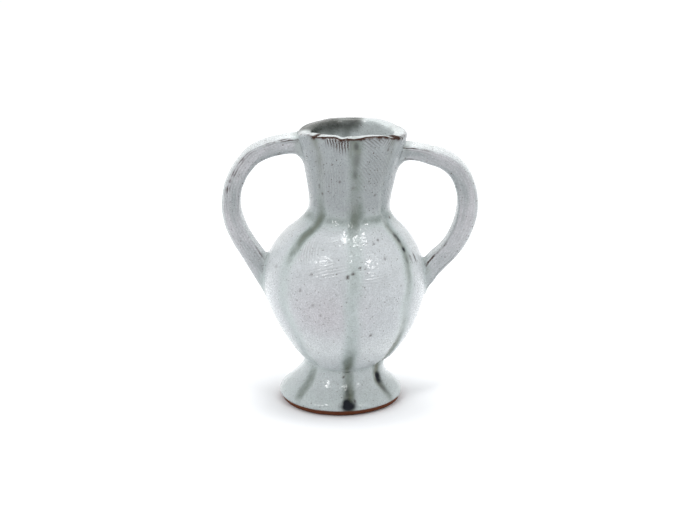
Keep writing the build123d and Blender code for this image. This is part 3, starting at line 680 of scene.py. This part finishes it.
def addFormula(tree, formula, sockets=None, clamp=False):
    # Adds what a formula says. A number or a socket stands for itself, a word for an earlier socket or else
    # for a fact of the piece, and (operation, terms) for one node: RANGE for Map Range, whose terms are a
    # value, its range and what that becomes, otherwise 0 to 1, and any other for Math.
    if isinstance(formula, str):
        if formula not in sockets:
            sockets[formula] = addNode(tree, "ShaderNodeAttribute", attribute_name=formula).outputs["Fac"]
        return sockets[formula]
    if not isinstance(formula, tuple):
        return formula
    operation, *terms = formula
    terms = [addFormula(tree, term, sockets) for term in terms]
    if operation == "RANGE":
        inputs = dict(zip(("Value", "From Min", "From Max", "To Min", "To Max"), terms))
        return addNode(tree, "ShaderNodeMapRange", inputs).outputs[0]
    made = addNode(tree, "ShaderNodeMath", dict(enumerate(terms)), operation=operation, use_clamp=clamp)
    return made.outputs[0]


# Celadon-type ash glaze, dipped and fired on iron-rich stoneware: glossy and green where it is deep, satin
# and grey where it is thin over ridges, with rust-brown clay breaking through and black iron spots. Painted
# light and shade are mixed into its colour: paler where light falls and greyer on faces in shade. The
# foot's ring and the iron spots are dry: matt iron-brown stoneware and iron oxide that no glaze covers.
glaze = {
    # The palest colour is painted light, and the greyed one is grey glaze that also serves as painted shade.
    "thin": "#c0c5c8", "pinkish": "#beb9be", "greyedAndPaintedShade": "#9ca2a4", "palestPaintedLight": "#d6dbdc", "milky": "#b7c0c0",
    "deep": "#75807b", "olive": "#5c6150", "black": "#202228", "rust": "#30190e", "clay": "#683c28",
    "speck": "#58504a",
    "ior": 1.52, "glossy": 0.09, "satin": 0.27, "dryRough": 0.85, "drySpecular": 0.12,
    "ridgePitch": 0.6,
    # Noises, each with its size in mm, detail and roughness: cloudy mottle, ash grain, grit of the clay,
    # patches of more specks, drift of the ridges and the soft orange peel of fired glaze.
    "noises": {"mottle": (2.2, 3.0, 0.5), "grain": (0.3, 3.0, 0.6), "grit": (0.34, 2.0, 0.5),
               "patches": (1.1, 2.0, 0.5), "drift": (1.6, 3.0, 0.5), "peel": (0.55, 0.0, 0.5)},
    # Specks of iron: pitch of their cells, share of cells that have one, least and greatest radius, in mm.
    "specks": {"bigDots": (0.95, 0.6, 0.11, 0.2), "smallDots": (0.5, 0.6, 0.07, 0.13)},
    # Depths in mm of the orange peel, the grit and the ridges. Specks lie in pits of pitDepth.
    "pitDepth": 0.03, "bumps": {"peel": 0.07, "pittedGrit": 0.015, "ridge": 0.05},
}

# How noises and facts make the shares of the colours. What is named a Share is kept between 0 and 1.
glazeFormulas = {
    "wave": ("SINE", ("ADD", ("MULTIPLY", "ridgeAcross", 2 * math.pi / glaze["ridgePitch"]),
                      ("MULTIPLY", "drift", 4.0))),
    "ridge": ("MULTIPLY", "wave", "ridgeStrength"),
    "poolShare": ("MULTIPLY", "pool", ("RANGE", "mottle", 0.3, 0.7, 0.8, 1.15)),
    "milky": ("RANGE", "poolShare", 0.0, 0.5),
    "deep": ("RANGE", "poolShare", 0.5, 1.0),
    # Grey where the glaze is thin, partly painted shade, and less grey where light is painted.
    "thinGreyAndPaintedShadeShare": ("MULTIPLY", "greyAndPaintedShade", ("RANGE", "poolShare", 0.4, 1.0, 1.0, 0.4)),
    "greyedAndPaintedShade": ("MULTIPLY", "thinGreyAndPaintedShadeShare", ("RANGE", "paleAndPaintedLight", 0.3, 1.0, 1.0, 0.2)),
    "crest": ("MULTIPLY", ("MULTIPLY", ("RANGE", "ridge", 0.1, 0.9), ("RANGE", "grain", 0.42, 0.62)), 0.5),
    "dots": ("MAXIMUM", "bigDots", "smallDots"),
    "dense": ("MULTIPLY", ("MULTIPLY", ("RANGE", "greyAndPaintedShade", 0.0, 1.0, 0.6, 0.95),
                           ("RANGE", "patches", 0.4, 0.6, 0.35, 1.1)),
              ("RANGE", "poolShare", 0.2, 0.8, 1.0, 0.35)),
    "speckShare": ("MULTIPLY", "dots", "dense"),
    "oliveShare": ("MULTIPLY", "olive", ("RANGE", "grain", 0.3, 0.7, 0.7, 1.25)),
    "grainyWave": ("ADD", "wave", ("RANGE", "grain", 0.35, 0.65, -0.6, 0.6)),
    "ridgeWear": ("MULTIPLY", "wear", ("RANGE", "grainyWave", -0.2, 0.5)),
    "rustShare": ("MAXIMUM", ("MULTIPLY", "rust", ("RANGE", "grain", 0.3, 0.55, 0.6, 1.4)), "ridgeWear"),
    "blackShare": ("MULTIPLY", "black", 1.25),
    "shade": ("ADD", ("ADD", ("RANGE", "mottle", 0.25, 0.75, -0.06, 0.06),
                      ("RANGE", "grain", 0.25, 0.75, -0.19, 0.17)), 1.0),
    "pittedGrit": ("SUBTRACT", "grit",
                   ("MULTIPLY", "dots", glaze["pitDepth"] / glaze["bumps"]["pittedGrit"])),
}

# Colours over the thin glaze, from the lowest up, each with the share that it covers. The palest layer is
# painted light and the greyed layer partly painted shade.
glazeLayers = [("pink", "pinkish"), ("paleAndPaintedLight", "palestPaintedLight"), ("milky", "milky"), ("greyedAndPaintedShade", "greyedAndPaintedShade"),
               ("deep", "deep"), ("crest", "speck"), ("speckShare", "speck"), ("oliveShare", "olive"),
               ("rustShare", "rust"), ("blackShare", "black"), ("bare", "clay")]


def glazeMaterial(name, dry):
    material = bpy.data.materials.new(name)
    material.use_nodes = True
    tree = material.node_tree
    shader = tree.nodes["Principled BSDF"]
    place = addNode(tree, "ShaderNodeTexCoord").outputs["Object"]
    sockets = {}
    for pattern, (size, detail, rough) in glaze["noises"].items():
        inputs = {"Vector": place, "Scale": 1 / (size * mm), "Detail": detail, "Roughness": rough}
        sockets[pattern] = addNode(tree, "ShaderNodeTexNoise", inputs).outputs["Fac"]
    for pattern, (pitch, kept, small, large) in glaze["specks"].items():
        # Dots at most one in each cell, whose random colour says how large it is and whether it is there.
        cells = addNode(tree, "ShaderNodeTexVoronoi", {"Vector": place, "Scale": 1 / (pitch * mm)}).outputs
        dice = addNode(tree, "ShaderNodeSeparateColor", {0: cells["Color"]}).outputs
        size = ("RANGE", dice[1], 0, 1, small / pitch, large / pitch)
        inside = ("RANGE", ("SUBTRACT", size, cells["Distance"]), -0.03, 0.05)
        sockets[pattern] = addFormula(tree, ("MULTIPLY", inside, ("LESS_THAN", dice[0], kept)))
    for share, formula in glazeFormulas.items():
        sockets[share] = addFormula(tree, formula, sockets, share.endswith("Share"))

    colour = linear(glaze["thin"])
    for share, over in glazeLayers:
        inputs = {"Factor": addFormula(tree, share, sockets), 6: colour, 7: linear(glaze[over])}
        colour = addNode(tree, "ShaderNodeMix", inputs, data_type="RGBA").outputs[2]
    shaded = addNode(tree, "ShaderNodeHueSaturation", {"Color": colour, "Value": sockets["shade"]})
    tree.links.new(shaded.outputs[0], shader.inputs["Base Color"])
    shader.inputs["IOR"].default_value = glaze["ior"]

    if dry:
        shader.inputs["Roughness"].default_value = glaze["dryRough"]
        shader.inputs["Specular IOR Level"].default_value = glaze["drySpecular"]
    else:
        rough = ("ADD", ("RANGE", "gloss", 0.0, 1.0, glaze["satin"], glaze["glossy"]),
                 ("RANGE", "grain", 0.3, 0.7, -0.05, 0.08))
        tree.links.new(addFormula(tree, rough, sockets), shader.inputs["Roughness"])

    below = {}
    for pattern, depth in glaze["bumps"].items():
        inputs = {"Height": sockets[pattern], "Distance": depth * mm, "Strength": 1.0, **below}
        below = {"Normal": addNode(tree, "ShaderNodeBump", inputs).outputs[0]}
    tree.links.new(below["Normal"], shader.inputs["Normal"])
    return material


glazed = glazeMaterial("celadonAshGlazeOnStoneware", False)
dryClay = glazeMaterial("bareIronStoneware", True)
for piece in [vasePiece, *handlePieces]:
    piece.data.materials.append(glazed)
    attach(piece, "root")
vasePiece.data.materials.append(dryClay)
# A quad takes the dry clay by its first corner. The fan under the foot's hollow is dry, the floor's isn't.
fan = np.ones(vase["turns"], bool)
isDry = np.concatenate([dry[:-1].reshape(-1) > vaseGlaze["dryFrom"], fan, ~fan])
vasePiece.data.polygons.foreach_set("material_index", isDry.astype(np.int32))
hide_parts("foot", "body", "neck", "foot_slip", "neck_slip")
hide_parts("handle_left", "handle_left_top_slip", "handle_left_foot_slip")
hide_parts("handle_right", "handle_right_top_slip", "handle_right_foot_slip")
print("glaze on", 1 + len(handlePieces), "pieces")

# Studio, in metres: a pale floor that glows from glowFrom outwards, even light that is stronger from the
# sides than from the front, as in a white tent, a soft lamp overhead, and three small ones, high up and at
# each side of the camera, which the glaze mirrors.
studio = {
    "floorSize": 6.0, "floorColour": "#eff0f2", "farGlow": 0.3, "glowFrom": 0.018, "glowFull": 0.055,
    "background": 1.0, "front": 0.04, "back": 0.82, "sides": 1.05, "lampsFace": (0, 0, 0.03),
    "lamps": {
        "overhead": {"place": (0.0, 0.1, 0.5), "size": (0.3, 0.3), "watts": 0.95},
        "high": {"place": (0.06, -0.07, 0.52), "size": (0.2, 0.06), "watts": 0.5},
        "left": {"place": (-0.232, -0.297, 0.36), "size": (0.08, 0.12), "watts": 0.46},
        "right": {"place": (0.256, -0.285, 0.36), "size": (0.07, 0.1), "watts": 0.3},
    },
}


def seenStraight(tree):
    # Formula: 1 for what the camera sees, also mirrored or through glass, and 0 for what lights the vase.
    ways = addNode(tree, "ShaderNodeLightPath").outputs
    straight = ("MAXIMUM", ways["Is Camera Ray"], ways["Is Glossy Ray"])
    return ("MAXIMUM", straight, ways["Is Transmission Ray"])


def floorMaterial():
    # White paper sweep: plain matt paper that keeps the shadow, with a glow for the camera and reflections.
    material = bpy.data.materials.new("mattPaperSweep")
    material.use_nodes = True
    tree = material.node_tree
    tree.nodes.clear()
    place = addNode(tree, "ShaderNodeTexCoord").outputs["Object"]
    away = addNode(tree, "ShaderNodeVectorMath", {0: place}, operation="LENGTH").outputs["Value"]
    far = ("RANGE", away, studio["glowFrom"], studio["glowFull"], 0.0, studio["farGlow"])
    glow = addNode(tree, "ShaderNodeEmission",
                   {"Strength": addFormula(tree, ("MULTIPLY", seenStraight(tree), far))})
    paper = addNode(tree, "ShaderNodeBsdfDiffuse", {"Color": linear(studio["floorColour"])})
    both = addNode(tree, "ShaderNodeAddShader", {0: paper.outputs[0], 1: glow.outputs[0]})
    addNode(tree, "ShaderNodeOutputMaterial", {"Surface": both.outputs[0]})
    return material


def tentWorld():
    # White tent: light grows from front to back and towards the sides. The camera sees plain white.
    world = bpy.data.worlds.new("studio")
    world.use_nodes = True
    tree = world.node_tree
    tree.nodes.clear()
    way = addNode(tree, "ShaderNodeTexCoord").outputs["Generated"]
    way = addNode(tree, "ShaderNodeSeparateXYZ", {0: way}).outputs
    tent = ("ADD", ("RANGE", way["Y"], -0.7, 0.4, studio["front"], studio["back"]),
            ("RANGE", ("ABSOLUTE", way["X"]), 0.35, 1.0, 0.0, studio["sides"]))
    level = addNode(tree, "ShaderNodeMix", {0: addFormula(tree, seenStraight(tree)),
                                            2: addFormula(tree, tent), 3: studio["background"]})
    sky = addNode(tree, "ShaderNodeBackground", {"Color": linear("#ffffff"), "Strength": level.outputs[0]})
    addNode(tree, "ShaderNodeOutputWorld", {"Surface": sky.outputs[0]})
    return world


half = studio["floorSize"] / 2
floorMesh = bpy.data.meshes.new("floor")
floorCorners = [(-half, -half, 0), (half, -half, 0), (half, half, 0), (-half, half, 0)]
floorMesh.from_pydata(floorCorners, [], [(0, 1, 2, 3)])
floor = bpy.data.objects.new("floor", floorMesh)
bpy.context.scene.collection.objects.link(floor)
floor.data.materials.append(floorMaterial())
bpy.context.scene.world = tentWorld()

for name, setting in studio["lamps"].items():
    lampData = bpy.data.lights.new(name, "AREA")
    lampData.shape = "RECTANGLE"
    lampData.size, lampData.size_y = setting["size"]
    lampData.energy = setting["watts"]
    lamp = bpy.data.objects.new(name, lampData)
    lamp.location = setting["place"]
    towards = Vector(studio["lampsFace"]) - Vector(setting["place"])
    lamp.rotation_euler = towards.to_track_quat("-Z", "Y").to_euler()
    bpy.context.scene.collection.objects.link(lamp)

# Camera: 80 mm lens a third of a metre away, looking down by 17 degrees.
view = {"target": (0, 0, 0.03034), "distance": 0.3339, "down": 17.23, "lens": 79.71, "sensor": 36}
cameraData = bpy.data.cameras.new("camera")
cameraData.lens = view["lens"]
cameraData.sensor_width = view["sensor"]
cameraData.clip_start = 0.01
camera = bpy.data.objects.new("camera", cameraData)
down = math.radians(view["down"])
back = Vector((0, -math.cos(down), math.sin(down)))
camera.location = Vector(view["target"]) + view["distance"] * back
camera.rotation_euler = (math.pi / 2 - down, 0, 0)
bpy.context.scene.collection.objects.link(camera)
bpy.context.scene.camera = camera
bpy.context.scene.view_settings.view_transform = "Standard"
print("studio and camera set")
